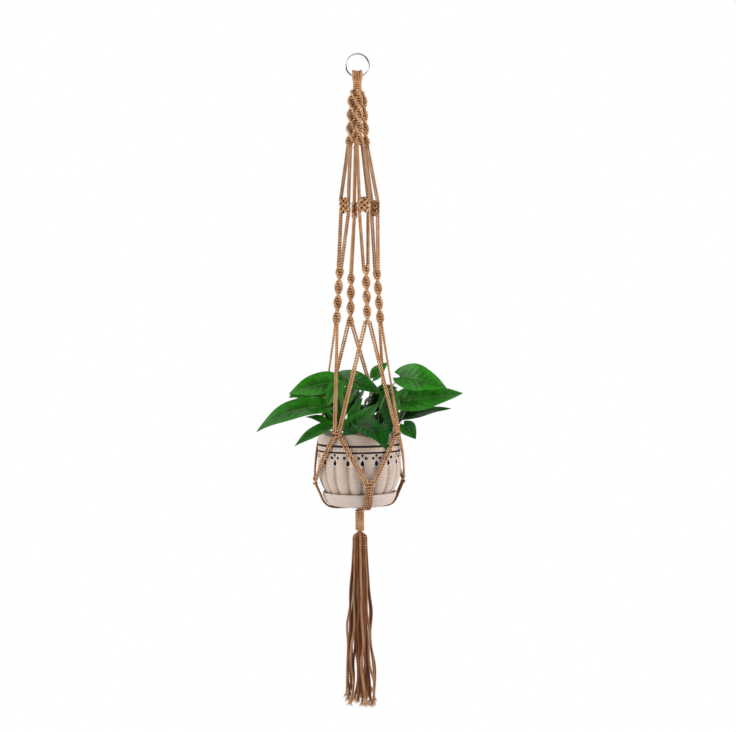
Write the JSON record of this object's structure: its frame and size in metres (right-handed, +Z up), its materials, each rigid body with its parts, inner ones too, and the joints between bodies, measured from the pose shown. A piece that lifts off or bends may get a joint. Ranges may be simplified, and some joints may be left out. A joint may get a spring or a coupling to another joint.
{
  "type": "hanging macrame planter",
  "caption": "Knotted cord plant hanger on a metal ring, with spiral sinnets, a knotted net that cradles a fluted ceramic pot and saucer with a leafy plant, and a long tassel below.",
  "frame": {"origin": "Hook seat: the highest point of the inside of the hanging ring, on its middle plane.", "axes": "+Z up along the hanging planter, -Y towards the viewer in front, +X to the viewer's right; the ring lies in the XZ plane."},
  "size_m": [0.3247, 0.2034, 1.0499],
  "materials": {
    "cord": "matte",
    "ring_nickel": "polished",
    "pot_ceramic": "satin",
    "saucer_ceramic": "satin",
    "potting_soil": "matte",
    "leaf": "satin",
    "stalk": "satin"
  },
  "bodies": {
    "ring": {"hanging_ring": "ring_nickel"},
    "hanger": {"cord_fold": "cord", "neck_wrap": "cord", "upper_sinnet_1": "cord", "upper_sinnet_2": "cord", "upper_sinnet_3": "cord", "upper_sinnet_4": "cord", "band_knot_1": "cord", "band_knot_2": "cord", "band_knot_3": "cord", "band_knot_4": "cord", "lower_sinnet_1": "cord", "lower_sinnet_2": "cord", "lower_sinnet_3": "cord", "lower_sinnet_4": "cord", "rim_knot_1": "cord", "rim_knot_2": "cord", "rim_knot_3": "cord", "rim_knot_4": "cord", "cradle_knot_1": "cord", "cradle_knot_2": "cord", "cradle_knot_3": "cord", "cradle_knot_4": "cord", "upper_strands": "cord", "middle_strands": "cord", "net_strands_1": "cord", "net_strands_2": "cord", "net_strands_3": "cord", "net_strands_4": "cord", "cradle_strands_1": "cord", "cradle_strands_2": "cord", "cradle_strands_3": "cord", "cradle_strands_4": "cord", "under_strands_1": "cord", "under_strands_2": "cord", "under_strands_3": "cord", "under_strands_4": "cord", "base_gather": "cord", "base_wrap": "cord"},
    "saucer": {"saucer": "saucer_ceramic"},
    "pot": {"pot": "pot_ceramic", "soil": "potting_soil", "petioles": "stalk", "leaf_01": "leaf", "leaf_02": "leaf", "leaf_03": "leaf", "leaf_04": "leaf", "leaf_05": "leaf", "leaf_06": "leaf", "leaf_07": "leaf", "leaf_08": "leaf", "leaf_09": "leaf", "leaf_10": "leaf", "leaf_11": "leaf", "leaf_12": "leaf", "leaf_13": "leaf", "leaf_14": "leaf", "leaf_15": "leaf"},
    "tassel": {"tassel_head": "cord", "tassel_strands": "cord"}
  },
  "joints": [
    {"name": "hanger_swing", "type": "hinge", "parent": "ring", "child": "hanger", "pos_m": [0, 0, -0.0355], "axis": [1, 0, 0], "range_deg": [-30, 30]},
    {"name": "saucer_lift", "type": "slide", "parent": "hanger", "child": "saucer", "axis": [0, 0, 1], "range_m": [0, 0.004]},
    {"name": "pot_lift", "type": "slide", "parent": "saucer", "child": "pot", "axis": [0, 0, 1], "range_m": [0, 0.006]},
    {"name": "tassel_swing", "type": "hinge", "parent": "hanger", "child": "tassel", "pos_m": [0, 0, -0.7614], "axis": [0, 1, 0], "range_deg": [-20, 20]}
  ]
}
